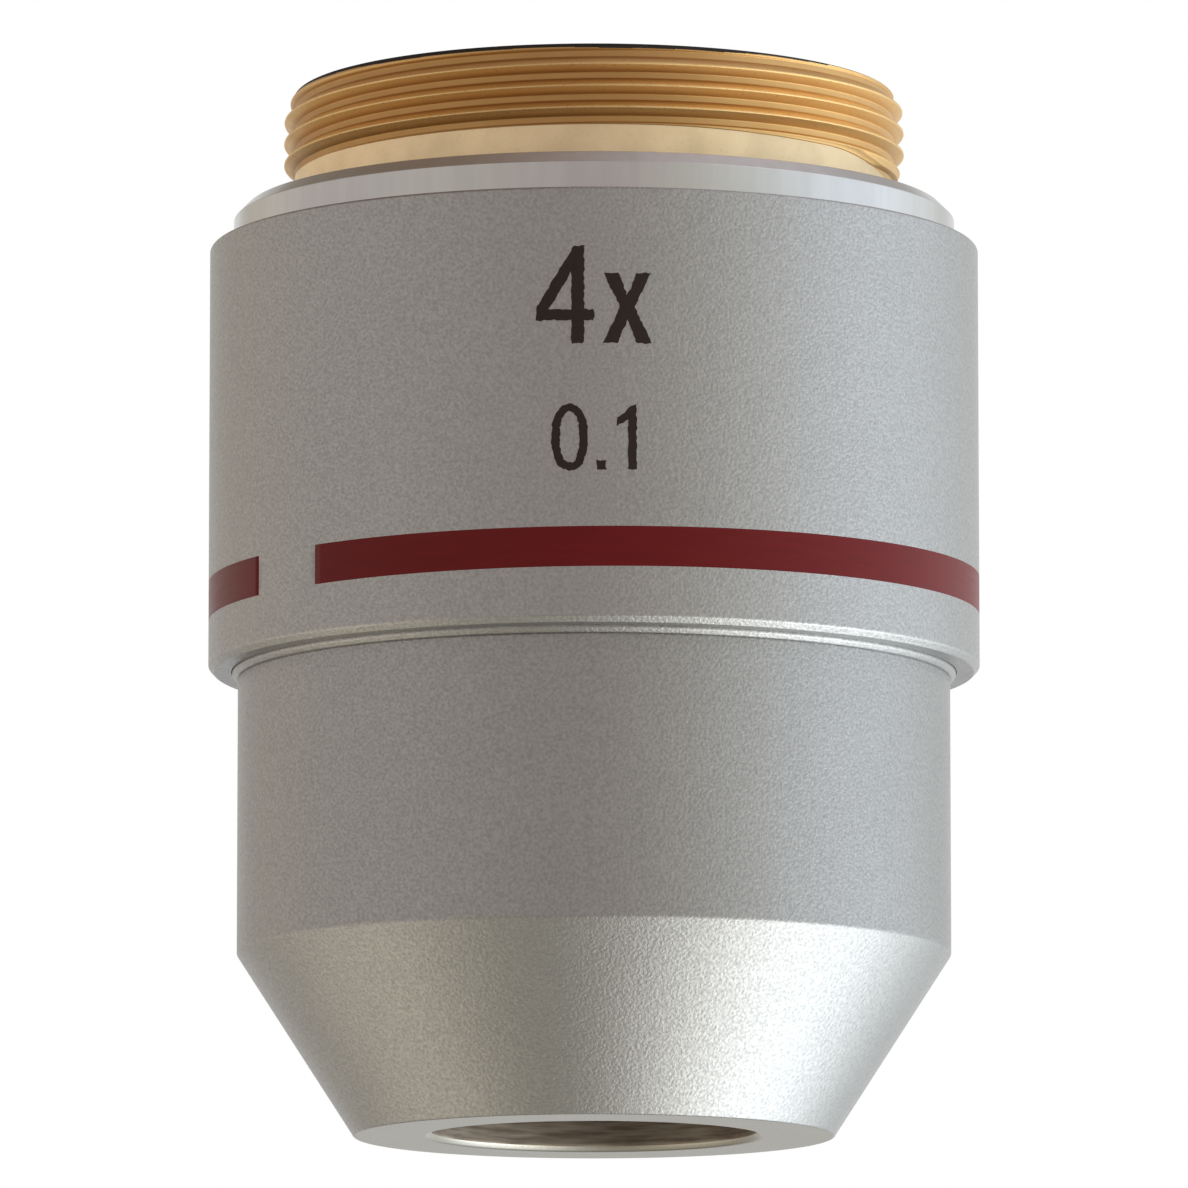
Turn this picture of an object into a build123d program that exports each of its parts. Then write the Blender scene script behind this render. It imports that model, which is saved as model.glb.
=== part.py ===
from build123d import *
import math
import os

# Low-power microscope objective for a finite tube, standing on its front face.
# Millimetres. Z runs along the optical axis, from the front face at 0 up to the screw thread.
# The front of the object, seen from the side, is towards -Y.

# Thread mount: society screw thread, 20.24 mm over the crests
thread_diameter = 20.24
thread_length = 2.6
thread_chamfer = 0.38
thread_end_chamfer = 0.1
neck_step = 0.37
neck_length = 1.17
mount_wall = 1.45
mount_bore_chamfer = 0.3

# Main body: the plated tube round the mount, whose top end is the locating shoulder
body_wall = 1.95
body_skirt_wall = 1.1
body_lower_chamfer = 0.15
shoulder_band_height = 0.95
shoulder_chamfer = 0.38
shoulder_relief = 0.5
spigot_end_room = 0.5

# Outer sleeve and its painted colour band
sleeve_wall = 0.75
sleeve_length = 13.8
sleeve_setback = 0.17
sleeve_lower_chamfer = 0.2
sleeve_upper_chamfer = 0.06
band_height = 1.27
band_offset = 1.77
band_depth = 0.05
band_gap_width = 3.0
band_gap_angle = -51.9

# Nose: the lower barrel with its cone and its flat front face
nose_step = 0.19
nose_length = 9.0
cone_height = 5.93
cone_wall = 1.4
front_hole_diameter = 10.5
front_hole_chamfer = 0.17
front_face_land = 2.33
front_lip_thickness = 1.5
spigot_wall = 1.1
spigot_length = 5.5
spigot_chamfer = 0.3

# Inner barrel and what holds it
barrel_wall = 0.75
barrel_lip_thickness = 0.8
barrel_lip_width = 1.2
barrel_front_gap = 0.4
barrel_front_chamfer = 0.4
barrel_end_room = 0.3
flange_thickness = 1.5
shim_thickness = 0.2
shim_width = 0.9

# Front doublet: crown in front, flint behind, cemented together
front_lens_diameter = 10.0
front_seat_width = 0.5
front_crown_curve = 17.21
front_cement_curve = -11.37
front_flint_curve = -41.46
front_crown_edge = 1.0
front_flint_thickness = 1.2
front_vertex_guard = 0.7

# Middle lens: one biconcave flint with flat ground rims
middle_lens_diameter = 9.2
middle_rim_width = 0.7
middle_front_curve = -11.22
middle_rear_curve = 13.59
middle_lens_thickness = 1.2
middle_lip_thickness = 1.1
middle_ring_thickness = 0.9

# Rear doublet: flint in front, crown behind, cemented together
rear_lens_diameter = 10.8
rear_seat_width = 0.6
rear_flint_curve = 20.14
rear_cement_curve = 13.37
rear_crown_curve = -10.03
rear_flint_thickness = 1.2
rear_crown_edge = 0.48
rear_vertex_guard = 0.6

# Stack of cells in the inner barrel
cell_wall = 0.8
ring_guard = 0.45
front_spacer_length = 3.5
rear_spacer_length = 2.3
spacer_wall = 0.8
stop_thickness = 0.2
stop_hole_diameter = 5.3
stack_ring_thickness = 1.3
stack_ring_width = 0.95
spanner_slot_width = 0.9
spanner_slot_depth = 0.5

# Room left in every round fit, and between the inner barrel and the cone
slide_clearance = 0.02
screw_clearance = 0.03
nose_clearance = 0.25

# Radii from the screw thread outwards
thread_radius = thread_diameter / 2
neck_radius = thread_radius - neck_step
mount_bore_radius = neck_radius - mount_wall
body_bore_radius = neck_radius + screw_clearance
body_radius = body_bore_radius + body_wall
sleeve_bore_radius = body_radius + slide_clearance
sleeve_radius = sleeve_bore_radius + sleeve_wall
nose_radius = body_radius - nose_step
skirt_radius = body_radius - body_skirt_wall
spigot_radius = skirt_radius - screw_clearance
nose_bore_radius = spigot_radius - spigot_wall
front_hole_radius = front_hole_diameter / 2
face_radius = front_hole_radius + front_hole_chamfer + front_face_land

# Radii from the lenses outwards
front_lens_radius = front_lens_diameter / 2
front_clear_radius = front_lens_radius - front_seat_width
middle_lens_radius = middle_lens_diameter / 2
middle_clear_radius = middle_lens_radius - middle_rim_width
rear_lens_radius = rear_lens_diameter / 2
rear_clear_radius = rear_lens_radius - rear_seat_width
largest_lens_radius = max(front_lens_radius, middle_lens_radius, rear_lens_radius)
cell_radius = largest_lens_radius + slide_clearance + cell_wall
barrel_bore_radius = cell_radius + slide_clearance
barrel_radius = barrel_bore_radius + barrel_wall
guide_radius = barrel_radius + slide_clearance
flange_radius = neck_radius - slide_clearance

# Cone of the nose, outside and inside
cone_slope = (nose_radius - face_radius) / cone_height
cone_wall_across = cone_wall * math.hypot(1, cone_slope)
cavity_front_radius = face_radius + cone_slope * front_lip_thickness - cone_wall_across
cavity_top = (nose_bore_radius - face_radius + cone_wall_across) / cone_slope

# Heights of the outer pieces, from the front face up
joint_z = cone_height + nose_length
sleeve_bottom = joint_z + sleeve_setback
sleeve_top = sleeve_bottom + sleeve_length
shoulder_z = sleeve_top + shoulder_band_height + shoulder_chamfer
thread_bottom = shoulder_z + neck_length
mount_top = thread_bottom + thread_length
spigot_top = joint_z + spigot_length


def sag(curve, radius):
    """Height of a spherical surface over its vertex, at a radius; a negative curve bulges upwards."""
    return curve - math.copysign(math.sqrt(curve**2 - radius**2), curve)


def dome(curve, vertex, radius_a, radius_b):
    """Arc of a spherical surface from one radius to another, drawn into the open profile."""
    radius_m = (radius_a + radius_b) / 2
    points = [(r, vertex + sag(curve, r)) for r in (radius_a, radius_m, radius_b)]
    ThreePointArc(*points)


def middle_thickness(lower_curve, upper_curve, radius, edge):
    """Thickness of a lens on its axis, from the thickness of its edge."""
    return edge + sag(lower_curve, radius) - sag(upper_curve, radius)


# Heights of the lens stack, from the front end of the inner barrel up.
# The barrel stops short of the front lip and of the inside of the cone.
corner_room = (barrel_radius + nose_clearance - cavity_front_radius) / cone_slope
barrel_front = front_lip_thickness + max(barrel_front_gap, corner_room)
front_cell_bottom = barrel_front + barrel_lip_thickness
front_vertex = front_cell_bottom + front_vertex_guard
front_cement_vertex = front_vertex + middle_thickness(
    front_crown_curve, front_cement_curve, front_lens_radius, front_crown_edge
)
front_rear_vertex = front_cement_vertex + front_flint_thickness
front_cell_top = front_rear_vertex + ring_guard
middle_cell_bottom = front_cell_top + front_spacer_length
middle_front_rim = middle_cell_bottom + middle_lip_thickness
middle_front_vertex = middle_front_rim - sag(middle_front_curve, middle_clear_radius)
middle_rear_vertex = middle_front_vertex + middle_lens_thickness
middle_rear_rim = middle_rear_vertex + sag(middle_rear_curve, middle_clear_radius)
middle_cell_top = middle_rear_rim + middle_ring_thickness
stop_top = middle_cell_top + stop_thickness
rear_cell_bottom = stop_top + rear_spacer_length
rear_vertex = rear_cell_bottom + rear_vertex_guard
rear_cement_vertex = rear_vertex + rear_flint_thickness
rear_rear_vertex = rear_cement_vertex + middle_thickness(
    rear_cement_curve, rear_crown_curve, rear_lens_radius, rear_crown_edge
)
rear_cell_top = rear_rear_vertex + ring_guard
stack_ring_top = rear_cell_top + stack_ring_thickness
barrel_top = stack_ring_top + barrel_end_room
flange_bottom = barrel_top - flange_thickness
seat_z = flange_bottom - shim_thickness

os.makedirs("parts", exist_ok=True)


# Nose cone: a flat face with a chamfered hole, the cone, the straight lower barrel,
# and a screwed spigot that goes up into the main body.
with BuildPart() as nose_cone:
    with BuildSketch(Plane.XZ):
        with BuildLine():
            Polyline(
                (front_hole_radius + front_hole_chamfer, 0),
                (face_radius, 0),
                (nose_radius, cone_height),
                (nose_radius, joint_z),
                (spigot_radius, joint_z),
                (spigot_radius, spigot_top - spigot_chamfer),
                (spigot_radius - spigot_chamfer, spigot_top),
                (nose_bore_radius, spigot_top),
                (nose_bore_radius, cavity_top),
                (cavity_front_radius, front_lip_thickness),
                (front_hole_radius, front_lip_thickness),
                (front_hole_radius, front_hole_chamfer),
                close=True,
            )
        make_face()
    revolve(axis=Axis.Z)
nose_cone.part.label = "nose_cone"
export_step(nose_cone.part, "parts/nose_cone.step")

# Main body: a tube with an inner web. The web carries the inner barrel, the bore below it takes
# the nose, the bore above it takes the thread mount, and the top end is the locating shoulder.
with BuildPart() as main_body:
    with BuildSketch(Plane.XZ):
        with BuildLine():
            Polyline(
                (skirt_radius, joint_z),
                (body_radius - body_lower_chamfer, joint_z),
                (body_radius, joint_z + body_lower_chamfer),
                (body_radius, shoulder_z - shoulder_chamfer),
                (body_radius - shoulder_chamfer, shoulder_z),
                (body_bore_radius + shoulder_relief, shoulder_z),
                (body_bore_radius, shoulder_z - shoulder_relief),
                (body_bore_radius, seat_z),
                (guide_radius, seat_z),
                (guide_radius, spigot_top + spigot_end_room),
                (skirt_radius, spigot_top + spigot_end_room),
                close=True,
            )
        make_face()
    revolve(axis=Axis.Z)
main_body.part.label = "main_body"
export_step(main_body.part, "parts/main_body.step")

# Colour band: a coat of paint in a shallow turned recess, open for a short arc at the front.
# The gap's angle is counted from -Y, and its minus sign turns it towards -X.
gap_degrees = math.degrees(band_gap_width / sleeve_radius)
band_start = math.radians(270 + band_gap_angle + gap_degrees / 2)
band_bottom = sleeve_bottom + band_offset
band_plane = Plane(
    origin=(0, 0, 0),
    x_dir=(math.cos(band_start), math.sin(band_start), 0),
    z_dir=(math.sin(band_start), -math.cos(band_start), 0),
)
with BuildPart() as colour_band:
    with BuildSketch(band_plane):
        with Locations((sleeve_radius - band_depth, band_bottom)):
            Rectangle(band_depth, band_height, align=(Align.MIN, Align.MIN))
    revolve(axis=Axis.Z, revolution_arc=360 - gap_degrees)
colour_band.part.label = "colour_band"
export_step(colour_band.part, "parts/colour_band.step")

# Outer sleeve: a thin tube slid over the main body, with the recess of the colour band in it.
with BuildPart() as outer_sleeve:
    with BuildSketch(Plane.XZ):
        with BuildLine():
            Polyline(
                (sleeve_bore_radius, sleeve_bottom),
                (sleeve_radius - sleeve_lower_chamfer, sleeve_bottom),
                (sleeve_radius, sleeve_bottom + sleeve_lower_chamfer),
                (sleeve_radius, sleeve_top - sleeve_upper_chamfer),
                (sleeve_radius - sleeve_upper_chamfer, sleeve_top),
                (sleeve_bore_radius, sleeve_top),
                close=True,
            )
        make_face()
    revolve(axis=Axis.Z)
    add(colour_band.part, mode=Mode.SUBTRACT)
outer_sleeve.part.label = "outer_sleeve"
export_step(outer_sleeve.part, "parts/outer_sleeve.step")

# Thread mount: a brass tube screwed into the body. Its lower end clamps the flange of the
# inner barrel, and its thread above the neck goes into the nosepiece.
with BuildPart() as thread_mount:
    with BuildSketch(Plane.XZ):
        with BuildLine():
            Polyline(
                (mount_bore_radius, barrel_top),
                (neck_radius, barrel_top),
                (neck_radius, thread_bottom),
                (thread_radius - thread_end_chamfer, thread_bottom),
                (thread_radius, thread_bottom + thread_end_chamfer),
                (thread_radius, mount_top - thread_chamfer),
                (thread_radius - thread_chamfer, mount_top),
                (mount_bore_radius + mount_bore_chamfer, mount_top),
                (mount_bore_radius, mount_top - mount_bore_chamfer),
                close=True,
            )
        make_face()
    revolve(axis=Axis.Z)
thread_mount.part.label = "thread_mount"
export_step(thread_mount.part, "parts/thread_mount.step")

# Inner barrel: the blackened tube of the lens stack, with a lip at its front end
# and a flange at its top end.
with BuildPart() as inner_barrel:
    with BuildSketch(Plane.XZ):
        with BuildLine():
            Polyline(
                (barrel_bore_radius - barrel_lip_width, barrel_front),
                (barrel_radius - barrel_front_chamfer, barrel_front),
                (barrel_radius, barrel_front + barrel_front_chamfer),
                (barrel_radius, flange_bottom),
                (flange_radius, flange_bottom),
                (flange_radius, barrel_top),
                (barrel_bore_radius, barrel_top),
                (barrel_bore_radius, front_cell_bottom),
                (barrel_bore_radius - barrel_lip_width, front_cell_bottom),
                close=True,
            )
        make_face()
    revolve(axis=Axis.Z)
inner_barrel.part.label = "inner_barrel"
export_step(inner_barrel.part, "parts/inner_barrel.step")

# Parfocal shim: a thin ring between the web of the body and the rim of the inner barrel's flange.
with BuildPart() as parfocal_shim:
    with BuildSketch(Plane.XY.offset(seat_z)):
        Circle(flange_radius)
        Circle(flange_radius - shim_width, mode=Mode.SUBTRACT)
    extrude(amount=shim_thickness)
parfocal_shim.part.label = "parfocal_shim"
export_step(parfocal_shim.part, "parts/parfocal_shim.step")


def cut_spanner_slots(top, outer_radius):
    """Two opposite slots across the top face of the ring that is being built."""
    with Locations((0, 0, top)):
        Box(
            2 * outer_radius,
            spanner_slot_width,
            spanner_slot_depth,
            align=(Align.CENTER, Align.CENTER, Align.MAX),
            mode=Mode.SUBTRACT,
        )


# Front cell: its lip is ground to the crown's front surface, which rests on it.
front_cell_bore = front_lens_radius + slide_clearance
with BuildPart() as front_cell:
    with BuildSketch(Plane.XZ):
        with BuildLine():
            dome(front_crown_curve, front_vertex, front_clear_radius, front_cell_bore)
            Polyline(
                (front_cell_bore, front_vertex + sag(front_crown_curve, front_cell_bore)),
                (front_cell_bore, front_cell_top),
                (cell_radius, front_cell_top),
                (cell_radius, front_cell_bottom),
                (front_clear_radius, front_cell_bottom),
                (front_clear_radius, front_vertex + sag(front_crown_curve, front_clear_radius)),
            )
        make_face()
    revolve(axis=Axis.Z)
front_cell.part.label = "front_cell"
export_step(front_cell.part, "parts/front_cell.step")


def lens(label, lower_curve, lower_vertex, upper_curve, upper_vertex, radius):
    """Lens of one glass between two spherical surfaces, with a ground cylindrical edge."""
    with BuildPart() as glass:
        with BuildSketch(Plane.XZ):
            with BuildLine():
                dome(lower_curve, lower_vertex, 0, radius)
                Line(
                    (radius, lower_vertex + sag(lower_curve, radius)),
                    (radius, upper_vertex + sag(upper_curve, radius)),
                )
                dome(upper_curve, upper_vertex, radius, 0)
                Line((0, upper_vertex), (0, lower_vertex))
            make_face()
        revolve(axis=Axis.Z)
    glass.part.label = label
    return glass.part


# Cemented pairs: the crown and the flint of a pair share the surface between them.
front_crown_lens = lens(
    "front_crown_lens",
    front_crown_curve,
    front_vertex,
    front_cement_curve,
    front_cement_vertex,
    front_lens_radius,
)
export_step(front_crown_lens, "parts/front_crown_lens.step")
front_flint_lens = lens(
    "front_flint_lens",
    front_cement_curve,
    front_cement_vertex,
    front_flint_curve,
    front_rear_vertex,
    front_lens_radius,
)
export_step(front_flint_lens, "parts/front_flint_lens.step")
rear_flint_lens = lens(
    "rear_flint_lens",
    rear_flint_curve,
    rear_vertex,
    rear_cement_curve,
    rear_cement_vertex,
    rear_lens_radius,
)
export_step(rear_flint_lens, "parts/rear_flint_lens.step")
rear_crown_lens = lens(
    "rear_crown_lens",
    rear_cement_curve,
    rear_cement_vertex,
    rear_crown_curve,
    rear_rear_vertex,
    rear_lens_radius,
)
export_step(rear_crown_lens, "parts/rear_crown_lens.step")


def lens_ring(label, curve, vertex, clear_radius, lens_radius, top):
    """Slotted ring that screws into a cell, with its lower face ground to the lens under it."""
    with BuildPart() as ring:
        with BuildSketch(Plane.XZ):
            with BuildLine():
                dome(curve, vertex, clear_radius, lens_radius)
                Polyline(
                    (lens_radius, vertex + sag(curve, lens_radius)),
                    (lens_radius, top),
                    (clear_radius, top),
                    (clear_radius, vertex + sag(curve, clear_radius)),
                )
            make_face()
        revolve(axis=Axis.Z)
        cut_spanner_slots(top, lens_radius)
    ring.part.label = label
    return ring.part


# Lens rings of the two doublets, level with the tops of their cells.
front_lens_ring = lens_ring(
    "front_lens_ring",
    front_flint_curve,
    front_rear_vertex,
    front_clear_radius,
    front_lens_radius,
    front_cell_top,
)
export_step(front_lens_ring, "parts/front_lens_ring.step")
rear_lens_ring = lens_ring(
    "rear_lens_ring",
    rear_crown_curve,
    rear_rear_vertex,
    rear_clear_radius,
    rear_lens_radius,
    rear_cell_top,
)
export_step(rear_lens_ring, "parts/rear_lens_ring.step")


def spacer(label, bottom, length):
    """Plain tube between two cells of the stack."""
    with BuildPart() as tube:
        with BuildSketch(Plane.XY.offset(bottom)):
            Circle(cell_radius)
            Circle(cell_radius - spacer_wall, mode=Mode.SUBTRACT)
        extrude(amount=length)
    tube.part.label = label
    return tube.part


front_spacer = spacer("front_spacer", front_cell_top, front_spacer_length)
export_step(front_spacer, "parts/front_spacer.step")
rear_spacer = spacer("rear_spacer", stop_top, rear_spacer_length)
export_step(rear_spacer, "parts/rear_spacer.step")

# Middle cell: a flat lip under the flat ground rim of the biconcave lens.
middle_cell_bore = middle_lens_radius + slide_clearance
with BuildPart() as middle_cell:
    with BuildSketch(Plane.XZ):
        with BuildLine():
            Polyline(
                (middle_clear_radius, middle_cell_bottom),
                (cell_radius, middle_cell_bottom),
                (cell_radius, middle_cell_top),
                (middle_cell_bore, middle_cell_top),
                (middle_cell_bore, middle_front_rim),
                (middle_clear_radius, middle_front_rim),
                close=True,
            )
        make_face()
    revolve(axis=Axis.Z)
middle_cell.part.label = "middle_cell"
export_step(middle_cell.part, "parts/middle_cell.step")

# Middle lens: hollow on both sides, with flat rims outside its clear diameter.
with BuildPart() as middle_lens:
    with BuildSketch(Plane.XZ):
        with BuildLine():
            dome(middle_front_curve, middle_front_vertex, 0, middle_clear_radius)
            Polyline(
                (middle_clear_radius, middle_front_rim),
                (middle_lens_radius, middle_front_rim),
                (middle_lens_radius, middle_rear_rim),
                (middle_clear_radius, middle_rear_rim),
            )
            dome(middle_rear_curve, middle_rear_vertex, middle_clear_radius, 0)
            Line((0, middle_rear_vertex), (0, middle_front_vertex))
        make_face()
    revolve(axis=Axis.Z)
middle_lens.part.label = "middle_lens"
export_step(middle_lens.part, "parts/middle_lens.step")

# Middle lens ring: a flat slotted ring on the upper rim of the middle lens.
with BuildPart() as middle_lens_ring:
    with BuildSketch(Plane.XY.offset(middle_rear_rim)):
        Circle(middle_lens_radius)
        Circle(middle_clear_radius, mode=Mode.SUBTRACT)
    extrude(amount=middle_ring_thickness)
    cut_spanner_slots(middle_cell_top, middle_lens_radius)
middle_lens_ring.part.label = "middle_lens_ring"
export_step(middle_lens_ring.part, "parts/middle_lens_ring.step")

# Aperture stop: a thin disc on the middle cell that sets the aperture.
with BuildPart() as aperture_stop:
    with BuildSketch(Plane.XY.offset(middle_cell_top)):
        Circle(cell_radius)
        Circle(stop_hole_diameter / 2, mode=Mode.SUBTRACT)
    extrude(amount=stop_thickness)
aperture_stop.part.label = "aperture_stop"
export_step(aperture_stop.part, "parts/aperture_stop.step")

# Rear cell: its lip is ground to the flint's front surface, which rests on it.
rear_cell_bore = rear_lens_radius + slide_clearance
with BuildPart() as rear_cell:
    with BuildSketch(Plane.XZ):
        with BuildLine():
            dome(rear_flint_curve, rear_vertex, rear_clear_radius, rear_cell_bore)
            Polyline(
                (rear_cell_bore, rear_vertex + sag(rear_flint_curve, rear_cell_bore)),
                (rear_cell_bore, rear_cell_top),
                (cell_radius, rear_cell_top),
                (cell_radius, rear_cell_bottom),
                (rear_clear_radius, rear_cell_bottom),
                (rear_clear_radius, rear_vertex + sag(rear_flint_curve, rear_clear_radius)),
            )
        make_face()
    revolve(axis=Axis.Z)
rear_cell.part.label = "rear_cell"
export_step(rear_cell.part, "parts/rear_cell.step")

# Stack ring: the slotted ring that screws down on the whole stack, seen from the thread end.
with BuildPart() as stack_ring:
    with BuildSketch(Plane.XY.offset(rear_cell_top)):
        Circle(cell_radius)
        Circle(cell_radius - stack_ring_width, mode=Mode.SUBTRACT)
    extrude(amount=stack_ring_thickness)
    cut_spanner_slots(stack_ring_top, cell_radius)
stack_ring.part.label = "stack_ring"
export_step(stack_ring.part, "parts/stack_ring.step")
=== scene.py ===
import bmesh
import bpy
import math
import numpy as np
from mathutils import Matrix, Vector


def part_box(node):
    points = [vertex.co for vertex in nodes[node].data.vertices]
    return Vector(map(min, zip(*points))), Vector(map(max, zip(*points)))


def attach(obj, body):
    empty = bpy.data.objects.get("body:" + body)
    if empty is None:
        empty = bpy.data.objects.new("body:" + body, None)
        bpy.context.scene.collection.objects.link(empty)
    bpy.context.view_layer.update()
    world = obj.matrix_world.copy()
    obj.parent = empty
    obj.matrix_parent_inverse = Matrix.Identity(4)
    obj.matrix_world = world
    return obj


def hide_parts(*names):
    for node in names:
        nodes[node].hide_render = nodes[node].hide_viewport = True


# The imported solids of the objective. It stands on its front face, with the optical axis along Z
# and the printed side towards -Y. Sizes below are millimetres, and meshes are metres.
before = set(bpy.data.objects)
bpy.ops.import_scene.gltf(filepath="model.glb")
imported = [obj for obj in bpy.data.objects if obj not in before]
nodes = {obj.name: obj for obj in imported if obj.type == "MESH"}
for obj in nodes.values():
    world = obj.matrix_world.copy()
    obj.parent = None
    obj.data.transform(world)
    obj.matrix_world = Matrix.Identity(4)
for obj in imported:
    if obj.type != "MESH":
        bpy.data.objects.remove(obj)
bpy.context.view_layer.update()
MM = 0.001


# Thread mount: a brass tube turned in one piece, with the fine society thread cut on its top end.
# It is screwed into the main body and clamps the lens barrel there. The brass is bare outside,
# and matt black paint covers the bore and the top face. The same black comes a little way over the top edge.
def linear(colour):
    """sRGB hex to linear red, green, blue and full alpha, by the sRGB curve."""
    srgb = np.array([int(colour[i : i + 2], 16) for i in (1, 3, 5)]) / 255
    rgb = np.where(srgb <= 0.04045, srgb / 12.92, ((srgb + 0.055) / 1.055) ** 2.4)
    return (*rgb.tolist(), 1.0)


def add(tree, kind, sockets=None, **settings):
    """Adds a node with its settings; each socket gets a value, or a link from another node's output."""
    node = tree.nodes.new(kind)
    for name, value in settings.items():
        setattr(node, name, value)
    for key, value in (sockets or {}).items():
        if isinstance(value, bpy.types.NodeSocket):
            tree.links.new(value, node.inputs[key])
        else:
            node.inputs[key].default_value = value
    return node


def finish(name, **sockets):
    """New material with a principled shader; the sockets given are the same all over the surface."""
    material = bpy.data.materials.new(name)
    material.use_nodes = True
    shader = material.node_tree.nodes["Principled BSDF"]
    for key, value in sockets.items():
        shader.inputs[key.replace("_", " ")].default_value = value
    spot = add(material.node_tree, "ShaderNodeTexCoord").outputs["Object"]
    return material, material.node_tree, shader, spot


def coat(name, dark, light, across, along, detail, strength, depth, gloss=None, **sockets):
    """Paint, ink or blackening: a grain of the given width across and along the axis mixes two colours,
    raises the surface by its depth and, where a range of roughness is given, moves the gloss in it."""
    material, tree, shader, spot = finish(name, **sockets)
    scale = (1 / (across * MM), 1 / (across * MM), 1 / (along * MM))
    drawn = add(tree, "ShaderNodeMapping", {"Vector": spot, "Scale": scale})
    noise = add(tree, "ShaderNodeTexNoise", {"Vector": drawn.outputs[0], "Scale": 1.0, "Detail": detail})
    grain = noise.outputs["Fac"]
    colours = {0: grain, 6: linear(dark), 7: linear(light)}
    colour = add(tree, "ShaderNodeMix", colours, data_type="RGBA")
    tree.links.new(colour.outputs[2], shader.inputs["Base Color"])
    if gloss:
        rough = add(tree, "ShaderNodeMapRange", {"Value": grain, "To Min": gloss[0], "To Max": gloss[1]})
        tree.links.new(rough.outputs[0], shader.inputs["Roughness"])
    bump = add(tree, "ShaderNodeBump", {"Height": grain, "Strength": strength, "Distance": depth * MM})
    tree.links.new(bump.outputs[0], shader.inputs["Normal"])
    return material


# Points on an eased corner: five on its curve and one on each edge beside it.
corner_points = 7


def eased(corners, ease):
    """Closed section with eased corners. Each corner P becomes the curve (1-t)^2 A + 2t(1-t) P + t^2 B,
    where A and B lie a short way back along its two edges, with one more point on each edge."""
    most_of_edge, edge_point = 0.35, 1.3
    corners = np.asarray(corners, float)
    back = np.roll(corners, 1, 0) - corners
    ahead = np.roll(corners, -1, 0) - corners
    back_length = np.linalg.norm(back, axis=1, keepdims=True)
    ahead_length = np.linalg.norm(ahead, axis=1, keepdims=True)
    shorter = np.minimum(back_length, ahead_length)
    cut = np.minimum(np.reshape(ease, (-1, 1)), most_of_edge * shorter)
    step_back = back / back_length * cut
    step_ahead = ahead / ahead_length * cut
    t = np.linspace(0, 1, corner_points - 2)[:, None, None]
    curve = corners + (1 - t) ** 2 * step_back + t**2 * step_ahead
    before, after = corners + edge_point * step_back, corners + edge_point * step_ahead
    return np.concatenate([[before], curve, [after]]).transpose(1, 0, 2).reshape(-1, 2)


def column(values):
    """Values of a section as an upright array, so that each one fills a row of the ring."""
    return np.reshape(values, (-1, 1))


def turned(name, radius, height, angles, finishes, face_finish=0, closed=True):
    """Ring mesh from a section carried round the axis: row i and angle j give the point
    (r sin a, -r cos a, z). Rows close on themselves, and so do the angles unless the ends get caps."""
    shape = np.broadcast_shapes(radius.shape, height.shape, (1, len(angles)))
    radius = np.broadcast_to(radius, shape)
    height = np.broadcast_to(height, shape)
    points = np.stack([radius * np.sin(angles), -radius * np.cos(angles), height], -1) * MM
    rows, columns = shape
    i, j = np.indices((rows, columns if closed else columns - 1))
    up, along = (i + 1) % rows, (j + 1) % columns
    quads = np.stack([i * columns + j, i * columns + along, up * columns + along, up * columns + j], -1)
    faces = quads.reshape(-1, 4).tolist()
    number = np.broadcast_to(face_finish, i.shape).ravel().tolist()
    if not closed:
        row = np.arange(rows) * columns
        faces += [row.tolist(), (row[::-1] + columns - 1).tolist()]
        number += [number[0]] * 2
    mesh = bpy.data.meshes.new(name)
    mesh.from_pydata(points.reshape(-1, 3).tolist(), [], faces)
    mesh.polygons.foreach_set("material_index", number)
    mesh.polygons.foreach_set("use_smooth", [True] * len(faces))
    for material in finishes:
        mesh.materials.append(material)
    piece = bpy.data.objects.new(name, mesh)
    bpy.context.scene.collection.objects.link(piece)
    return piece
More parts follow.
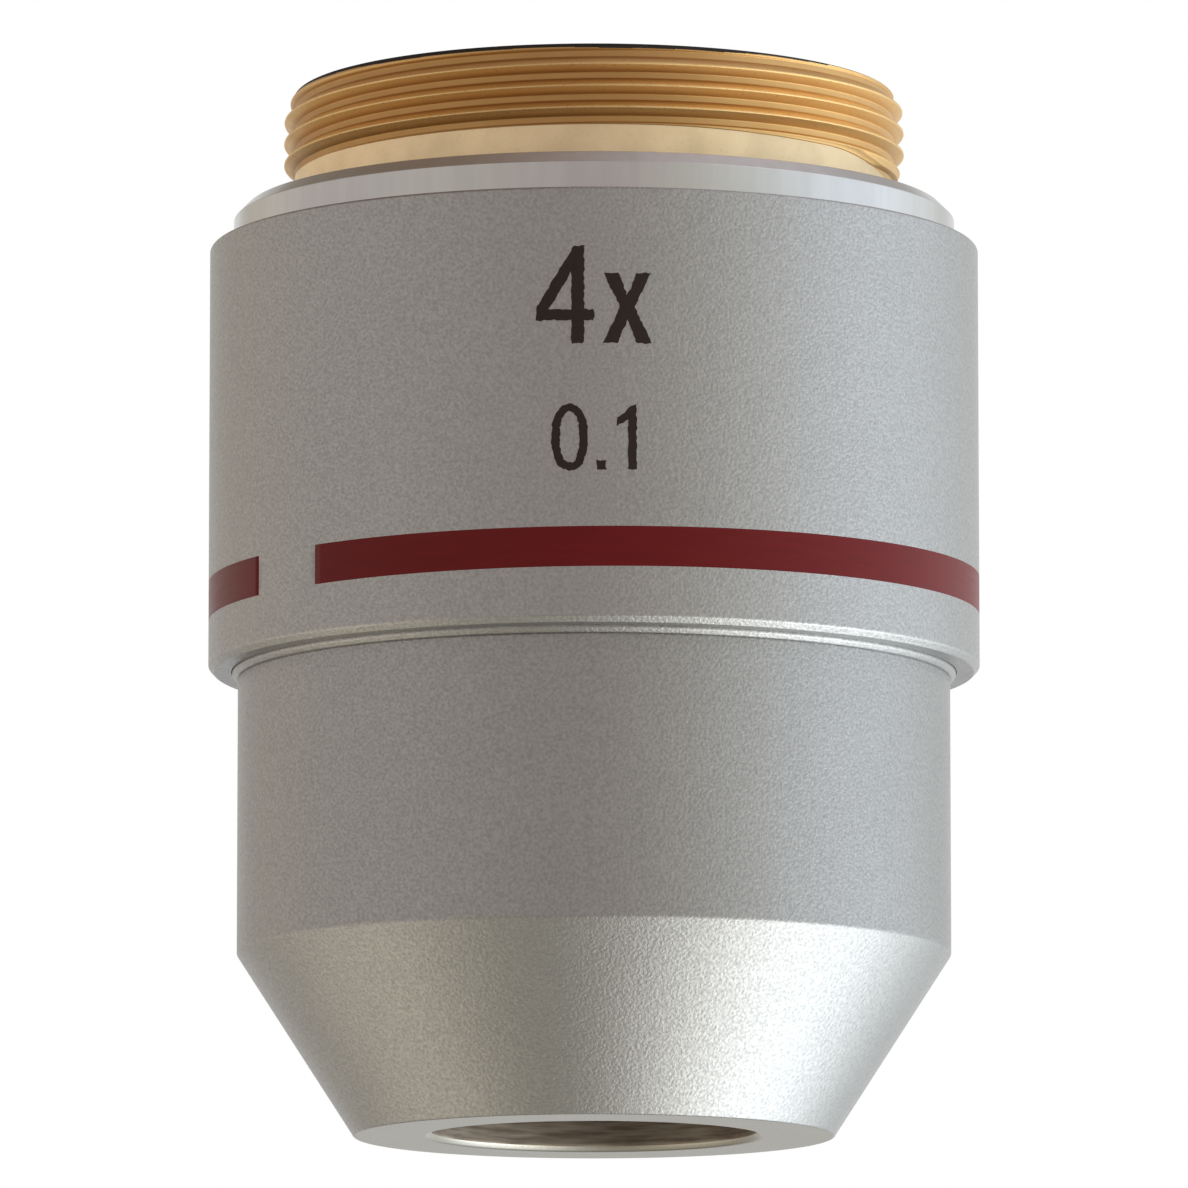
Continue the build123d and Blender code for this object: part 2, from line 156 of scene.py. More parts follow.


# Bare brass: warm yellow, dulled in patches by handling, with painted shade that darkens it towards +X. On
# the neck it is a smooth matt cream, and in the thread the light goes from flank to flank, which turns it
# golden, and a brown film lies in the grooves, as grime and painted shade in the roots.
def bare_brass(name, bright, dull, rough, film, clean, root):
    """Brass dulled in patches, with painted shade that darkens it towards +X. A brown film covers fine
    specks, and covers a groove more and more from the clean radius down to the root radius, as grime and
    painted shade in the roots, though thinner towards +X, which paints the right side lighter."""
    material, tree, shader, spot = finish(name, Metallic=1.0)
    patch_width, speck_width, speck_height, rough_swing = 1.4 * MM, 0.1 * MM, 0.004 * MM, 0.04
    patches = add(tree, "ShaderNodeTexNoise", {"Vector": spot, "Scale": 1 / patch_width, "Detail": 4.0})
    patch = patches.outputs["Fac"]
    fine = add(tree, "ShaderNodeTexNoise", {"Vector": spot, "Scale": 1 / speck_width, "Detail": 2.0})
    speck = fine.outputs["Fac"]
    place = add(tree, "ShaderNodeSeparateXYZ", {0: spot})
    to_right = {"Value": place.outputs["X"], "From Min": 2 * MM, "From Max": 7 * MM}

    tone = {"Value": patch, "From Min": 0.35, "From Max": 0.7, "To Max": 0.3}
    handled = add(tree, "ShaderNodeMapRange", tone)
    # Painted shade: the colour goes over to the duller, darker brass towards +X.
    side = add(tree, "ShaderNodeMapRange", {**to_right, "To Max": 0.7})
    wear_and_side_shade = add(tree, "ShaderNodeMath", {0: handled.outputs[0], 1: side.outputs[0]}, operation="ADD")
    metals = {0: wear_and_side_shade.outputs[0], 6: linear(bright), 7: linear(dull)}
    metal = add(tree, "ShaderNodeMix", metals, data_type="RGBA")

    stain = {"Value": speck, "From Min": 0.58, "From Max": 0.76, "To Max": film}
    specks = add(tree, "ShaderNodeMapRange", stain)
    across = add(tree, "ShaderNodeVectorMath", {0: spot, 1: (1, 1, 0)}, operation="MULTIPLY")
    radius = add(tree, "ShaderNodeVectorMath", {0: across.outputs[0]}, operation="LENGTH").outputs["Value"]
    # Painted light: the most film a root gets falls from 0.55 on the left to 0.24 on the right, so the roots
    # are lighter on the right.
    thick = add(tree, "ShaderNodeMapRange", {**to_right, "To Min": 0.55, "To Max": 0.24}).outputs[0]
    # Grime and painted shade: the film grows from the clean radius down to the root radius and darkens the
    # thread roots.
    groove = {"Value": radius, "From Min": clean * MM, "From Max": root * MM, "To Max": thick}
    deep = add(tree, "ShaderNodeMapRange", groove)
    cover = add(tree, "ShaderNodeMath", {0: specks.outputs[0], 1: deep.outputs[0]}, operation="MAXIMUM")
    stains_and_shade = {0: cover.outputs[0], 6: metal.outputs[2], 7: linear("#965F1E")}
    colour = add(tree, "ShaderNodeMix", stains_and_shade, data_type="RGBA")
    tree.links.new(colour.outputs[2], shader.inputs["Base Color"])

    swing = {"To Min": rough - rough_swing, "To Max": rough + rough_swing}
    gloss = add(tree, "ShaderNodeMapRange", {"Value": patch, "From Min": 0.3, "From Max": 0.7, **swing})
    tree.links.new(gloss.outputs[0], shader.inputs["Roughness"])
    bump = add(tree, "ShaderNodeBump", {"Height": speck, "Strength": 0.5, "Distance": speck_height})
    tree.links.new(bump.outputs[0], shader.inputs["Normal"])
    return material


neck_brass = bare_brass("matt_turned_brass", "#F9E3BC", "#D3BF9C", rough=0.5, film=0.12, clean=1.0, root=0.0)
thread_brass = bare_brass(
    "cut_thread_brass", "#E6C48C", "#DBB67C", rough=0.48, film=0.35, clean=9.95, root=9.78
)

# Matt black paint: a thin sprayed coat, dusty black with a fine grain.
black_paint = coat(
    "matt_black_paint", "#120F0C", "#2A241E", across=0.12, along=0.12, detail=3.0, strength=0.4, depth=0.008,
    Roughness=0.62, Specular_IOR_Level=0.35,
)


def lesser(first, second, ease):
    """The lesser of two arrays with the corner between them eased: (a + b - sqrt((a - b)^2 + e^2)) / 2."""
    return (first + second - np.sqrt((first - second) ** 2 + ease**2)) / 2


def step(angles, start, end):
    """Smooth step 3 t^2 - 2 t^3 from 0 to 1, where t goes from 0 to 1 between two angles in degrees."""
    t = np.clip((np.degrees(angles) - start) / (end - start), 0, 1)
    return t * t * (3 - 2 * t)


# The thread is 36 turns to the inch, with narrow crests, and roots that are flat between the flanks.
# The chamfer at the top cuts it back. It ends in a curve on the neck, a little higher at the front, and
# its last turn runs out further down on the right. Angles are degrees from the front to the right.
mount_low, mount_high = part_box("thread_mount")
mount_bottom, mount_top, crest_radius = mount_low.z / MM, mount_high.z / MM, mount_high.x / MM
neck_radius, bore_radius, bore_chamfer, mount_ease = 9.75, 8.3, 0.3, 0.04
thread_pitch, thread_depth, thread_length, thread_chamfer = 25.4 / 36, 0.37, 2.6, 0.38
crest_at_front, crest_flat, upper_flank, lower_flank = 33.3, 0.05, 0.25, 0.21
flank_ease, root_ease, edge_ease, chamfer_ease = 0.01, 0.02, 0.03, 0.2
run_out, run_out_radius, end_dip = 0.47, 9.92, 0.07
end_step, end_slope, end_curve = 0.04, 0.3, 2.2
thread_rows, mount_columns, top_gap, row_gap, neck_row = 180, 400, 0.06, 0.002, 0.03
thread_bottom, top_edge = mount_top - thread_length, crest_radius - thread_chamfer
mount_angles = np.linspace(-math.pi, math.pi, mount_columns, endpoint=False)
on_right = step(mount_angles, 50, 84) * (1 - step(mount_angles, 110, 170))
at_front = step(mount_angles, -60, 5) * (1 - step(mount_angles, 12, 50))
thread_end = thread_bottom - run_out * on_right - end_dip * (1 - at_front)
rise = column(np.linspace(0, 1, thread_rows))
thread_rise = thread_end + row_gap + rise * (mount_top - top_gap - thread_end)
turns = (thread_rise - crest_at_front) / thread_pitch - mount_angles / (2 * math.pi)
above_crest = (turns - np.floor(turns)) * thread_pitch - crest_flat / 2
upper_drop = above_crest * thread_depth / upper_flank
lower_drop = (thread_pitch - crest_flat - above_crest) * thread_depth / lower_flank
thread_drop = lesser(lesser(upper_drop, lower_drop, flank_ease), thread_depth, root_ease)
thread_wall = crest_radius + lesser(-thread_drop, 0, edge_ease)
thread_wall = lesser(thread_wall, top_edge + mount_top - thread_rise, chamfer_ease)
thread_wall = lesser(thread_wall, run_out_radius + np.maximum(thread_rise - thread_bottom, 0), edge_ease)
from_end = thread_rise - thread_end
end_wall = neck_radius + end_step + end_slope * from_end + end_curve * from_end**2
thread_wall = lesser(thread_wall, end_wall, edge_ease)

# The thread stands between the second and the fifth corner of the section.
mount_corners = [
    (bore_radius, mount_bottom),
    (neck_radius, mount_bottom),
    (neck_radius, thread_bottom),
    (crest_radius, mount_top - thread_chamfer),
    (top_edge, mount_top),
    (bore_radius + bore_chamfer, mount_top),
    (bore_radius, mount_top - bore_chamfer),
]
mount_section = eased(mount_corners, mount_ease)
below, above = mount_section[: 2 * corner_points], mount_section[4 * corner_points :]
neck_wall = np.stack([thread_end - neck_row, thread_end - row_gap])
even = np.ones(len(mount_angles))
mount_radius = np.concatenate(
    [
        column(below[:, 0]) * even,
        np.full(neck_wall.shape, neck_radius),
        thread_wall,
        column(above[:, 0]) * even,
    ]
)
mount_height = np.concatenate(
    [column(below[:, 1]) * even, neck_wall, thread_rise, column(above[:, 1]) * even]
)

# The black's lower edge is wavy, and comes further down over the thread on the left than on the right.
black_least, black_more, black_wave, black_ripple = 0.03, 0.12, 0.012, 0.008
black_edge = black_least + black_more * (1 - step(mount_angles, 0, 75) + step(mount_angles, 100, 170))
black_edge += black_wave * np.sin(7 * mount_angles) + black_ripple * np.sin(17 * mount_angles + 1)
row = column(np.arange(len(mount_height)))
thread_row, top_row = len(below) + 1, len(below) + len(neck_wall) + len(thread_wall)
in_bore = (row < corner_points) | (row >= top_row)
black_faces = in_bore | (mount_height > mount_top - black_edge)
mount_finishes = [neck_brass, thread_brass, black_paint]
on_neck, on_thread, on_black = range(len(mount_finishes))
mount_number = np.where(black_faces, on_black, np.where(row >= thread_row, on_thread, on_neck))
thread_mount = turned(
    "brass_thread_mount", mount_radius, mount_height, mount_angles, mount_finishes, mount_number
)
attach(thread_mount, "root")
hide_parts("thread_mount")


# Main body: a plated brass tube, bored from both ends, with a web that carries the lens barrel.
# Its polished top end is the shoulder that seats on the nosepiece, and its lower end, satin like
# the sleeve, shows as a thin bright line with a rounded edge round the joint with the nose.
def plating(name, light, dark, rough, grit, stretch, depth, blotch):
    """Plated metal: a grain of the given grit, drawn out along the axis by the stretch, moves the colour,
    the gloss and the surface, and wide faint blotches move the colour a little more."""
    material, tree, shader, spot = finish(name, Metallic=1.0)
    fine, blotch_width, rough_share = 1 / (grit * MM), 2.6 * MM, 0.1
    drawn = add(tree, "ShaderNodeMapping", {"Vector": spot, "Scale": (fine, fine, fine / stretch)})
    noise = add(tree, "ShaderNodeTexNoise", {"Vector": drawn.outputs[0], "Scale": 1.0, "Detail": 3.0})
    grain = noise.outputs["Fac"]
    wide = add(tree, "ShaderNodeTexNoise", {"Vector": spot, "Scale": 1 / blotch_width, "Detail": 3.0})
    blotches = add(tree, "ShaderNodeMath", {0: wide.outputs["Fac"], 1: blotch}, operation="MULTIPLY")
    both = add(tree, "ShaderNodeMath", {0: grain, 1: blotches.outputs[0]}, operation="ADD")
    middle = 0.5 + blotch * 0.5
    spread = {"Value": both.outputs[0], "From Min": middle - 0.18, "From Max": middle + 0.18}
    tone = add(tree, "ShaderNodeMapRange", spread)
    colours = {0: tone.outputs[0], 6: linear(dark), 7: linear(light)}
    colour = add(tree, "ShaderNodeMix", colours, data_type="RGBA")
    tree.links.new(colour.outputs[2], shader.inputs["Base Color"])
    swing = {"To Min": (1 + rough_share) * rough, "To Max": (1 - rough_share) * rough}
    gloss = add(tree, "ShaderNodeMapRange", {"Value": grain, "From Min": 0.3, "From Max": 0.7, **swing})
    tree.links.new(gloss.outputs[0], shader.inputs["Roughness"])
    bump = add(tree, "ShaderNodeBump", {"Height": grain, "Distance": depth * MM})
    tree.links.new(bump.outputs[0], shader.inputs["Normal"])
    return material


def by_edge(finishes, edges):
    """Finish number of each row of an eased section, from the finish of the edge after each corner. The
    rows before the middle of a corner belong to the edge before it."""
    number = np.array([finishes.index(edge) for edge in edges])
    half = corner_points // 2
    return column(np.stack([np.roll(number, 1)] * half + [number] * (corner_points - half), 1))


# Bright chrome: smooth grey-white plating over turned brass, with faint wiping smears along it.
bright_chrome = plating(
    "bright_chrome_plate", "#CACACA", "#C3C3C3", rough=0.24, grit=0.6, stretch=14, depth=0.0001, blotch=0.3
)

# Satin chrome: blasted with glass beads before plating, grey-white with a fine even grain.
satin_chrome = plating(
    "blasted_satin_chrome", "#B2B2B2", "#9E9E9E", rough=0.42, grit=0.1, stretch=1, depth=0.02, blotch=0.1
)

# Darkened brass: the inside is left unplated and oxidised to a warm brown.
dark_brass = plating(
    "darkened_brass", "#6F5844", "#4C3A2B", rough=0.36, grit=0.2, stretch=1, depth=0.004, blotch=0.6
)

# The lower end lies a little lower than in the solid, as it does in the photograph.
body_low, body_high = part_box("main_body")
body_drop, body_chamfer, shoulder_chamfer, mouth_chamfer = 0.1, 0.14, 0.38, 0.5
body_bottom, shoulder, body_radius = body_low.z / MM - body_drop, body_high.z / MM, body_high.x / MM
spigot_socket, mount_socket, web_bore, web_bottom, web_top = 10.63, 9.78, 7.01, 20.93, 23.769
satin_height, body_ease, round_ease, ring_columns = 7, 0.02, 0.05, 256
body_section = eased(
    [
        (spigot_socket, body_bottom),
        (body_radius - body_chamfer, body_bottom),
        (body_radius, body_bottom + body_chamfer),
        (body_radius, body_bottom + satin_height),
        (body_radius, shoulder - shoulder_chamfer),
        (body_radius - shoulder_chamfer, shoulder),
        (mount_socket + mouth_chamfer, shoulder),
        (mount_socket, shoulder - mouth_chamfer),
        (mount_socket, web_top),
        (web_bore, web_top),
        (web_bore, web_bottom),
        (spigot_socket, web_bottom),
    ],
    [body_ease, round_ease, round_ease] + [body_ease] * 9,
)
body_finishes = [bright_chrome, dark_brass, satin_chrome]
ring_angles = np.linspace(0, 2 * math.pi, ring_columns, endpoint=False)
main_body = turned(
    "bright_main_body",
    column(body_section[:, 0]),
    column(body_section[:, 1]),
    ring_angles,
    body_finishes,
    by_edge(body_finishes, [satin_chrome] * 3 + [bright_chrome] * 5 + [dark_brass] * 4),
)
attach(main_body, "root")
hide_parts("main_body")

# Outer sleeve: a thin tube, blasted with glass beads and satin chrome plated, slid over the main body.
# A shallow recess turned into it holds the colour band, and stops short for an arc at the front left.
# The recess is a little askew, and it and the lower end lie a little lower than in the solids.
sleeve_low, sleeve_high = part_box("outer_sleeve")
band_low, band_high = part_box("colour_band")
sleeve_drop, sleeve_chamfer, sleeve_top_chamfer, sleeve_bore = 0.05, 0.19, 0.06, 11.75
sleeve_bottom, sleeve_top = sleeve_low.z / MM - sleeve_drop, sleeve_high.z / MM
sleeve_radius = sleeve_high.x / MM
band_drop, band_depth, band_skew = 0.06, 0.05, 0.1
band_bottom, band_top = band_low.z / MM - band_drop, band_high.z / MM - band_drop
recess = sleeve_radius - band_depth
sleeve_section = eased(
    [
        (sleeve_bore, sleeve_bottom),
        (sleeve_radius - sleeve_chamfer, sleeve_bottom),
        (sleeve_radius, sleeve_bottom + sleeve_chamfer),
        (sleeve_radius, band_bottom),
        (recess, band_bottom),
        (recess, band_top),
        (sleeve_radius, band_top),
        (sleeve_radius, sleeve_top - sleeve_top_chamfer),
        (sleeve_radius - sleeve_top_chamfer, sleeve_top),
        (sleeve_bore, sleeve_top),
    ],
    [0.02, 0.03, 0.05] + [0.002] * 4 + [0.04, 0.04, 0.02],
)
gap_middle, gap_half, end_turn, recess_margin = math.radians(-51.9), 1.5 / sleeve_radius, 0.0004, 0.003
gap_ends = gap_middle + np.array([-gap_half, gap_half])
sleeve_angles = np.sort(
    np.concatenate([ring_angles - math.pi, gap_ends, gap_ends + [end_turn, -end_turn]])
)
in_gap = np.abs(sleeve_angles - gap_middle) < gap_half - end_turn / 2
section_z = sleeve_section[:, 1]
in_recess = (section_z > band_bottom - recess_margin) & (section_z < band_top + recess_margin)
filled = column(in_recess) & in_gap
sleeve_rows = np.where(filled, sleeve_radius, column(sleeve_section[:, 0]))

# In the gap the rows of the recess are spread evenly, so that no face there is flat.
recess_ends = np.flatnonzero(in_recess)[[0, -1]]
spread = np.interp(np.arange(len(section_z)), recess_ends, section_z[recess_ends])
sleeve_heights = np.where(filled, column(spread), column(section_z))
sleeve_heights = sleeve_heights + column(in_recess) * band_skew * np.sin(sleeve_angles)
outer_sleeve = turned("satin_outer_sleeve", sleeve_rows, sleeve_heights, sleeve_angles, [satin_chrome])
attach(outer_sleeve, "root")
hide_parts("outer_sleeve")

# Colour band: dark red enamel laid into the recess of the sleeve with a brush on the lathe.
# It is level with the sleeve, a little askew, and open for a short arc at the front left.
# Dark red enamel: deep even red, with fine brush strokes along the band.
red_enamel = coat(
    "dark_red_enamel", "#5C080B", "#6D0F13", across=2, along=0.15, detail=4.0, strength=0.4, depth=0.006,
    gloss=(0.3, 0.44), Specular_IOR_Level=0.2,
)
band_ease, band_columns = 0.006, 300
band_section = eased(
    [(recess, band_bottom), (sleeve_radius, band_bottom), (sleeve_radius, band_top), (recess, band_top)],
    band_ease,
)
band_angles = np.linspace(gap_ends[1], gap_ends[0] + 2 * math.pi, band_columns)
colour_band = turned(
    "red_colour_band",
    column(band_section[:, 0]),
    column(band_section[:, 1]) + band_skew * np.sin(band_angles),
    band_angles,
    [red_enamel],
    closed=False,
)
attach(colour_band, "root")
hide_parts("colour_band")

# Numerals: plain figures for the power and the aperture, pad printed on the sleeve in dark ink.
# The ink stands a few hundredths proud, and its edges are a little ragged from the blasted metal.
# Dark printing ink: a matt brown-black with a fine grain.
ink = coat(
    "dark_printing_ink", "#1A100B", "#2E2019", across=0.15, along=0.15, detail=3.0, strength=0.5, depth=0.006,
    Roughness=0.55, Specular_IOR_Level=0.3,
)

# Outlines of the figures for a height of 1: the closed lines of each, and the place of the next one.
# The nought is two rings, a little squarer than ellipses.
ring_turn = np.linspace(0, 2 * math.pi, 48, endpoint=False)
ring_power = 0.87
ring_x = np.sign(np.cos(ring_turn)) * np.abs(np.cos(ring_turn)) ** ring_power
ring_y = np.sign(np.sin(ring_turn)) * np.abs(np.sin(ring_turn)) ** ring_power
figures = {
    "4": (
        [
            [(0.36, 0), (0.49, 0), (0.49, 0.235), (0.59, 0.235), (0.59, 0.345), (0.49, 0.345), (0.49, 1),
             (0.385, 1), (0, 0.36), (0, 0.235), (0.36, 0.235)],
            [(0.13, 0.345), (0.36, 0.345), (0.36, 0.735)],
        ],
        0.68,
    ),
    "x": (
        [
            [(0, 0), (0.15, 0), (0.25, 0.235), (0.35, 0), (0.5, 0), (0.325, 0.37), (0.49, 0.72),
             (0.345, 0.72), (0.25, 0.495), (0.155, 0.72), (0.01, 0.72), (0.175, 0.37)],
        ],
        0.5,
    ),
    "0": (
        [
            np.stack([0.28 + 0.28 * ring_x, 0.5 + 0.515 * ring_y], -1),
            np.stack([0.28 + 0.15 * ring_x, 0.5 + 0.4 * ring_y], -1),
        ],
        0.7,
    ),
    ".": ([[(0, 0), (0.14, 0), (0.14, 0.14), (0, 0.14)]], 0.28),
    "1": (
        [
            [(0.2, 0), (0.33, 0), (0.33, 1), (0.245, 1), (0.17, 0.9), (0.03, 0.8), (0.03, 0.68),
             (0.2, 0.775)],
        ],
        0.33,
    ),
}


def printed(name, text, size, middle):
    """Figures filled and cut into small squares, then bent round the sleeve: x turns into the angle
    x / radius, y into height and depth into radius. A sum of sines of x and y shakes the outline a little."""
    half_ink, ink_middle, square, shake = 0.012, 0.010, 0.1, 0.011
    lines = bpy.data.curves.new(name, "CURVE")
    lines.dimensions = "2D"
    lines.fill_mode = "BOTH"
    lines.extrude = half_ink
    across = 0.0
    for figure in text:
        outlines, advance = figures[figure]
        for outline in outlines:
            flat_points = np.zeros((len(outline), 4))
            flat_points[:, :2] = (np.asarray(outline) + [across, -0.5]) * size
            spline = lines.splines.new("POLY")
            spline.points.add(len(outline) - 1)
            spline.points.foreach_set("co", flat_points.ravel())
            spline.use_cyclic_u = True
        across += advance
    flat = bpy.data.objects.new(name + "_flat", lines)
    bpy.context.scene.collection.objects.link(flat)
    bpy.context.view_layer.update()
    mesh = bpy.data.meshes.new_from_object(flat.evaluated_get(bpy.context.evaluated_depsgraph_get()))
    bpy.data.objects.remove(flat)

    cut = bmesh.new()
    cut.from_mesh(mesh)
    bmesh.ops.remove_doubles(cut, verts=cut.verts, dist=1e-5)
    corners = np.array([vertex.co for vertex in cut.verts])
    for axis in (0, 1):
        normal = (1 - axis, axis, 0)
        for place in np.arange(corners[:, axis].min() + square / 2, corners[:, axis].max(), square):
            geometry = cut.verts[:] + cut.edges[:] + cut.faces[:]
            point = (place * normal[0], place * normal[1], 0)
            bmesh.ops.bisect_plane(cut, geom=geometry, dist=1e-6, plane_co=point, plane_no=normal)
    bmesh.ops.remove_doubles(cut, verts=cut.verts, dist=1e-3)
    cut.to_mesh(mesh)
    cut.free()

    points = np.empty(len(mesh.vertices) * 3)
    mesh.vertices.foreach_get("co", points)
    x, y, depth = points.reshape(-1, 3).T
    shake_x = np.sin(9.1 * y + 3.7 * x) + np.sin(23.3 * y - 11.9 * x + 1.3) + np.sin(41.0 * y + 17.0 * x)
    shake_y = np.sin(8.3 * x - 4.1 * y + 0.6) + np.sin(21.7 * x + 13.1 * y)
    shake_y += np.sin(38.0 * x - 19.0 * y + 2.0)
    angle = (x - across * size / 2 + shake * shake_x) / sleeve_radius
    radius = sleeve_radius + depth + ink_middle
    height = middle + y + shake * shake_y
    bent = np.stack([radius * np.sin(angle), -radius * np.cos(angle), height], -1)
    mesh.vertices.foreach_set("co", (bent * MM).ravel())
    mesh.materials.clear()
    mesh.materials.append(ink)
    mesh.update()
    piece = bpy.data.objects.new(name, mesh)
    bpy.context.scene.collection.objects.link(piece)
    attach(piece, "root")


printed("printed_power", "4x", size=3.1, middle=25.45)
printed("printed_aperture", "0.1", size=2.05, middle=20.9)

# Nose: the lower barrel, its cone and its flat front face, turned in one piece of brass and screwed into
# the body. It is blasted and plated like the sleeve. The face and the chamfer of its hole are finer.
# Blasted nose chrome: satin plating like the sleeve's, a shade darker.
nose_chrome = plating(
    "blasted_nose_chrome", "#ADADAD", "#999999", rough=0.42, grit=0.1, stretch=1, depth=0.02, blotch=0.1
)

# Fine satin chrome: the front face, faced on the lathe and blasted lightly, a warm grey with little grain.
fine_chrome = plating(
    "fine_satin_chrome", "#B1AEA6", "#A5A29A", rough=0.4, grit=0.07, stretch=1, depth=0.004, blotch=0.2
)

# Grey-brown plating: the wall of the front hole, dull, browner and darker than the nose, in fine rings and
# patches.
grey_brown = plating(
    "tarnished_plating", "#A99F93", "#7C7063", rough=0.6, grit=1.6, stretch=0.08, depth=0.001, blotch=0.5
)

nose_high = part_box("nose_cone")[1]
nose_radius, face_radius, cone_top = nose_high.x / MM, 7.75, 5.88
hole_radius, hole_chamfer, hole_depth = 5.25, 0.17, 1.5
rim_height, rim_width = 0.04, 0.01
spigot_top, spigot_radius, spigot_chamfer = nose_high.z / MM, 10.6, 0.3
nose_bore, inner_cone_top, inner_cone_radius = 9.5, 5.338, 7.047
nose_section = eased(
    [
        (hole_radius + hole_chamfer, 0),
        (face_radius, 0),
        (nose_radius, cone_top),
        (nose_radius, body_bottom - rim_height),
        (nose_radius - rim_width, body_bottom),
        (spigot_radius, body_bottom),
        (spigot_radius, spigot_top - spigot_chamfer),
        (spigot_radius - spigot_chamfer, spigot_top),
        (nose_bore, spigot_top),
        (nose_bore, inner_cone_top),
        (inner_cone_radius, hole_depth),
        (hole_radius, hole_depth),
        (hole_radius, hole_chamfer),
    ],
    [0.08, 0.05, 0.06, 0.03, 0.01] + [0.02] * 6 + [0.03, 0.08],
)
nose_finishes = [nose_chrome, fine_chrome, dark_brass, grey_brown]
nose_edges = [fine_chrome] + [nose_chrome] * 4 + [dark_brass] * 6 + [grey_brown, fine_chrome]
nose_cone = turned(
    "satin_nose_cone",
    column(nose_section[:, 0]),
    column(nose_section[:, 1]),
    ring_angles,
    nose_finishes,
    by_edge(nose_finishes, nose_edges),
)
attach(nose_cone, "root")
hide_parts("nose_cone")

# Lens barrel and its stack: the inner tube, the lens cells, their slotted rings, the spacers and the stop,
# all turned from brass and chemically blackened, so that they swallow stray light.
# Blackened brass: brown-black and half matt, with fine feed marks from the lathe.
blackened = coat(
    "blackened_brass", "#1B1816", "#39332E", across=2, along=0.1, detail=3.0, strength=0.4, depth=0.004,
    gloss=(0.36, 0.56), Metallic=0.7,
)
stack = ["inner_barrel", "front_cell", "front_lens_ring", "front_spacer", "middle_cell", "middle_lens_ring"]
stack += ["aperture_stop", "rear_spacer", "rear_cell", "rear_lens_ring", "stack_ring"]
for name in stack:
    nodes[name].material_slots[0].material = blackened

# Parfocal shim: a thin ring punched from spring steel, under the flange of the lens barrel.
# It sets the focus height of the objective. The rolled steel is grey and half bright.
spring_steel = plating(
    "rolled_spring_steel", "#A5A29C", "#86827B", rough=0.3, grit=0.25, stretch=1, depth=0.002, blotch=0.7
)
nodes["parfocal_shim"].material_slots[0].material = spring_steel


# Lenses: ground and polished optical glass, crown and flint, cemented in pairs or held alone.
# The outer surfaces carry one quarter-wave coat against reflections, which leaves a faint purple gleam.
def optical_glass(name, index):
    """Clear glass of a refractive index, with a 105 nm coat of low index and a trace of dust."""
    material, tree, shader, spot = finish(
        name, Transmission_Weight=1.0, IOR=index, Thin_Film_Thickness=105.0, Thin_Film_IOR=1.38
    )
    shader.inputs["Base Color"].default_value = linear("#FBFDFC")
    dust_width, dusty = 0.4 * MM, {"From Min": 0.62, "From Max": 0.8, "To Min": 0.0, "To Max": 0.08}
    dust = add(tree, "ShaderNodeTexNoise", {"Vector": spot, "Scale": 1 / dust_width, "Detail": 6.0})
    gloss = add(tree, "ShaderNodeMapRange", {"Value": dust.outputs["Fac"], **dusty})
    tree.links.new(gloss.outputs[0], shader.inputs["Roughness"])
    return material


crown_glass = optical_glass("crown_glass", index=1.517)
flint_glass = optical_glass("flint_glass", index=1.62)
for name in ("front_crown_lens", "rear_crown_lens"):
    nodes[name].material_slots[0].material = crown_glass
for name in ("front_flint_lens", "middle_lens", "rear_flint_lens"):
    nodes[name].material_slots[0].material = flint_glass

# Stage: a pale floor that is seen from above only and fades out, a white surround for the camera,
# and a soft studio light: white behind, a lamp low on the right, and dimmer towards the camera.
# Pale floor: a smooth matt off-white sheet. Its sizes are metres.
floor_radius, floor_z, rim_points, fade_start, fade_end = 0.15, -0.02 * MM, 96, 0.05, 0.14
floor_finish, tree, shader, spot = finish("pale_floor", Roughness=0.7, Emission_Strength=0.4)
shader.inputs["Base Color"].default_value = linear("#F1F0EE")
distance = add(tree, "ShaderNodeVectorMath", {0: spot}, operation="LENGTH").outputs["Value"]
fade = add(tree, "ShaderNodeMapRange", {"Value": distance, "From Min": fade_start, "From Max": fade_end})
under = add(tree, "ShaderNodeNewGeometry").outputs["Backfacing"]
gone = add(tree, "ShaderNodeMath", {0: fade.outputs[0], 1: under}, operation="MAXIMUM")
clear = add(tree, "ShaderNodeBsdfTransparent")
mixed = add(tree, "ShaderNodeMixShader", {0: gone.outputs[0], 1: shader.outputs[0], 2: clear.outputs[0]})
tree.links.new(mixed.outputs[0], tree.nodes["Material Output"].inputs["Surface"])
rim = np.linspace(0, 2 * math.pi, rim_points, endpoint=False)
floor_points = [floor_radius * np.cos(rim), floor_radius * np.sin(rim), np.full(rim_points, floor_z)]
floor_mesh = bpy.data.meshes.new("floor")
floor_mesh.from_pydata(np.stack(floor_points, -1).tolist(), [], [list(range(rim_points))])
floor_mesh.materials.append(floor_finish)
floor = bpy.data.objects.new("floor", floor_mesh)
bpy.context.scene.collection.objects.link(floor)
floor.visible_diffuse = False
floor.visible_glossy = False
floor.visible_transmission = False
floor.visible_shadow = False

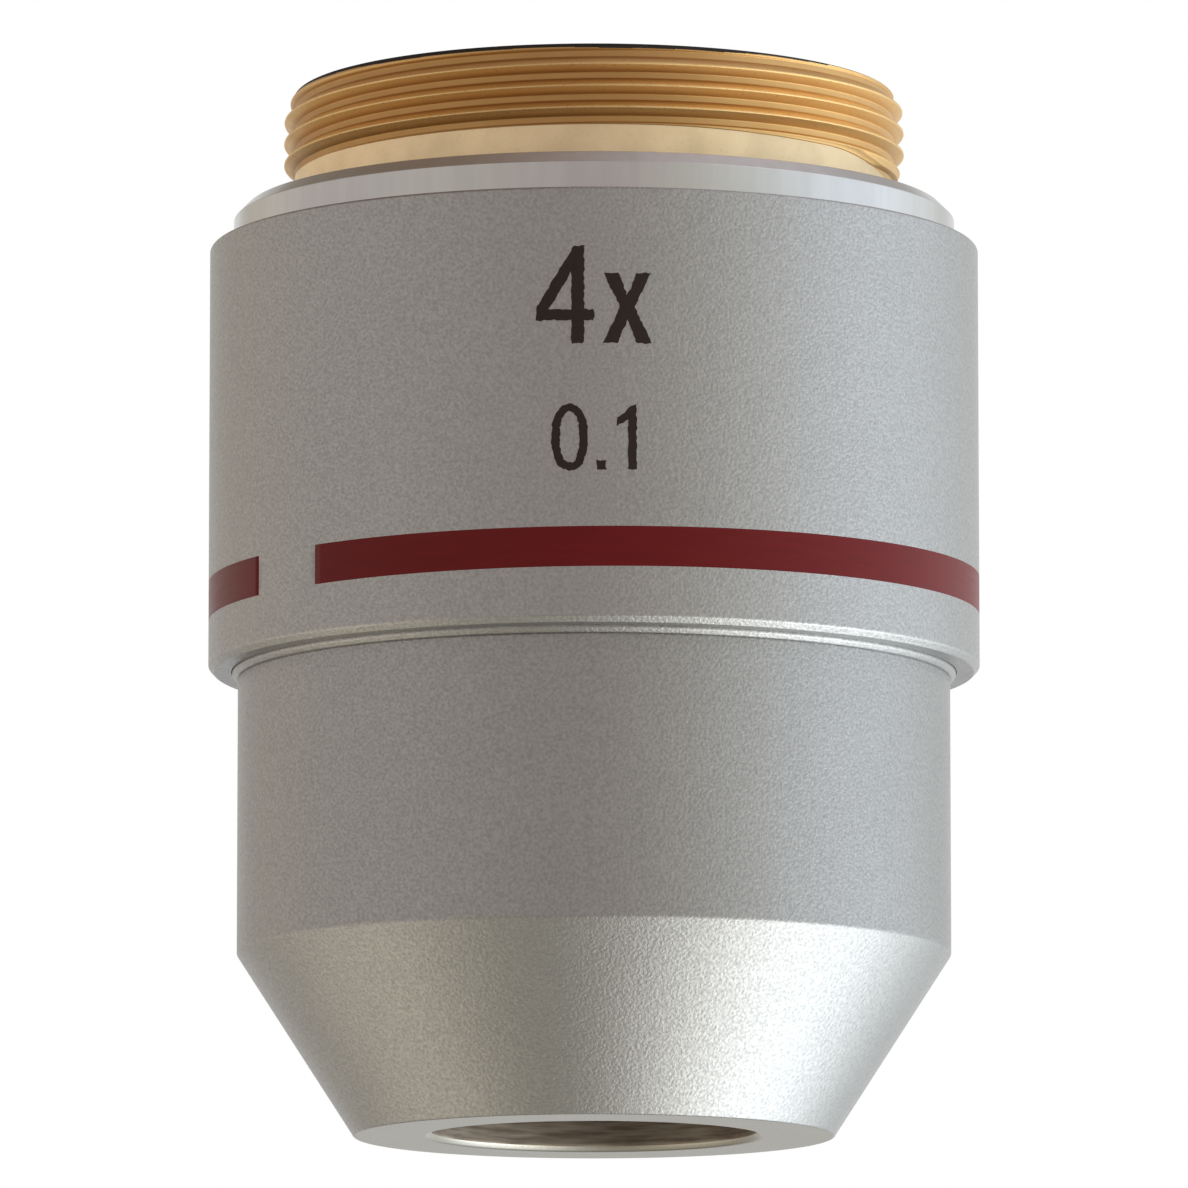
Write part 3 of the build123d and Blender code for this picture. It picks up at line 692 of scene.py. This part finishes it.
# Each light has the direction it comes from, how narrow it is, and its linear red, green and blue.
# Its glow is the cosine of the angle to that direction, raised to how narrow it is.
world = bpy.data.worlds.new("studio")
world.use_nodes = True
tree = world.node_tree
way = add(tree, "ShaderNodeTexCoord").outputs["Generated"]
lights = [
    ((0.71, 0.71, 0), 5, (0.82, 0.84, 0.79)),  # behind on the right
    ((-0.71, 0.71, 0), 5, (0.63, 0.58, 0.49)),  # behind on the left
    ((1, 0, 0.1), 4, (0.29, 0.34, 0.40)),  # right
    ((0.71, -0.71, 0.1), 4, (0.49, 0.49, 0.41)),  # front right
    ((0, -1, 0.1), 4, (0.33, 0.27, 0.28)),  # front
    ((-0.71, -0.71, 0.1), 4, (0.49, 0.47, 0.41)),  # front left
    ((-1, 0, 0.1), 4, (0.39, 0.35, 0.36)),  # left
    ((0.78, 0.08, -0.62), 7, (3.15, 3.38, 3.56)),  # the lamp, low on the right
    ((0.6, -0.3, -0.74), 6, (1.33, 1.24, 1.01)),  # its softer edge, towards the front
    ((-0.7, 0, -0.7), 6, (1.11, 1.02, 0.81)),  # low on the left
    ((0, 0.1, 1), 2, (0.27, 0.18, 0.12)),  # overhead
    ((0.7, 0, 0.7), 4, (0.87, 0.90, 1.00)),  # high on the right
]
total = add(tree, "ShaderNodeCombineXYZ").outputs[0]
for direction, narrow, strength in lights:
    toward = np.array(direction) / np.linalg.norm(direction)
    facing = add(tree, "ShaderNodeVectorMath", {0: way, 1: toward.tolist()}, operation="DOT_PRODUCT")
    lit = add(tree, "ShaderNodeMath", {0: facing.outputs["Value"], 1: 0.0}, operation="MAXIMUM")
    soft = add(tree, "ShaderNodeMath", {0: lit.outputs[0], 1: narrow}, operation="POWER")
    glow = add(tree, "ShaderNodeVectorMath", {0: strength, "Scale": soft.outputs[0]}, operation="SCALE")
    total = add(tree, "ShaderNodeVectorMath", {0: total, 1: glow.outputs[0]}, operation="ADD").outputs[0]

# The camera and the glass see a white surround, and the metal mirrors a white card behind the object.
path = add(tree, "ShaderNodeLightPath").outputs
behind = add(tree, "ShaderNodeVectorMath", {0: way, 1: (0, 1, 0)}, operation="DOT_PRODUCT").outputs["Value"]
card = add(tree, "ShaderNodeMapRange", {"Value": behind, "From Min": 0.8, "From Max": 0.96}).outputs[0]
seen = add(tree, "ShaderNodeMath", {0: card, 1: path["Is Glossy Ray"]}, operation="MULTIPLY")
for ray in ("Is Transmission Ray", "Is Camera Ray"):
    seen = add(tree, "ShaderNodeMath", {0: seen.outputs[0], 1: path[ray]}, operation="MAXIMUM")
surround = add(tree, "ShaderNodeBackground", {"Color": (1, 1, 1, 1), "Strength": 1.0})
studio = add(tree, "ShaderNodeBackground", {"Color": total, "Strength": 1.0})
sky = add(tree, "ShaderNodeMixShader", {0: seen.outputs[0], 1: studio.outputs[0], 2: surround.outputs[0]})
tree.links.new(sky.outputs[0], tree.nodes["World Output"].inputs["Surface"])
bpy.context.scene.world = world

# Camera: a little below the lower end, looking up by 8 degrees from 0.37 m away, with a long lens,
# as fitted to the edges of the object in the photograph.
look_up = 7.988
camera_data = bpy.data.cameras.new("camera")
camera_data.sensor_width = 36
camera_data.lens = 349.82
camera = bpy.data.objects.new("camera", camera_data)
camera.location = (0, -0.3710, -0.03439)
camera.rotation_euler = (math.radians(90 + look_up), 0, 0)
bpy.context.scene.collection.objects.link(camera)
bpy.context.scene.camera = camera
bpy.context.scene.view_settings.view_transform = "Standard"
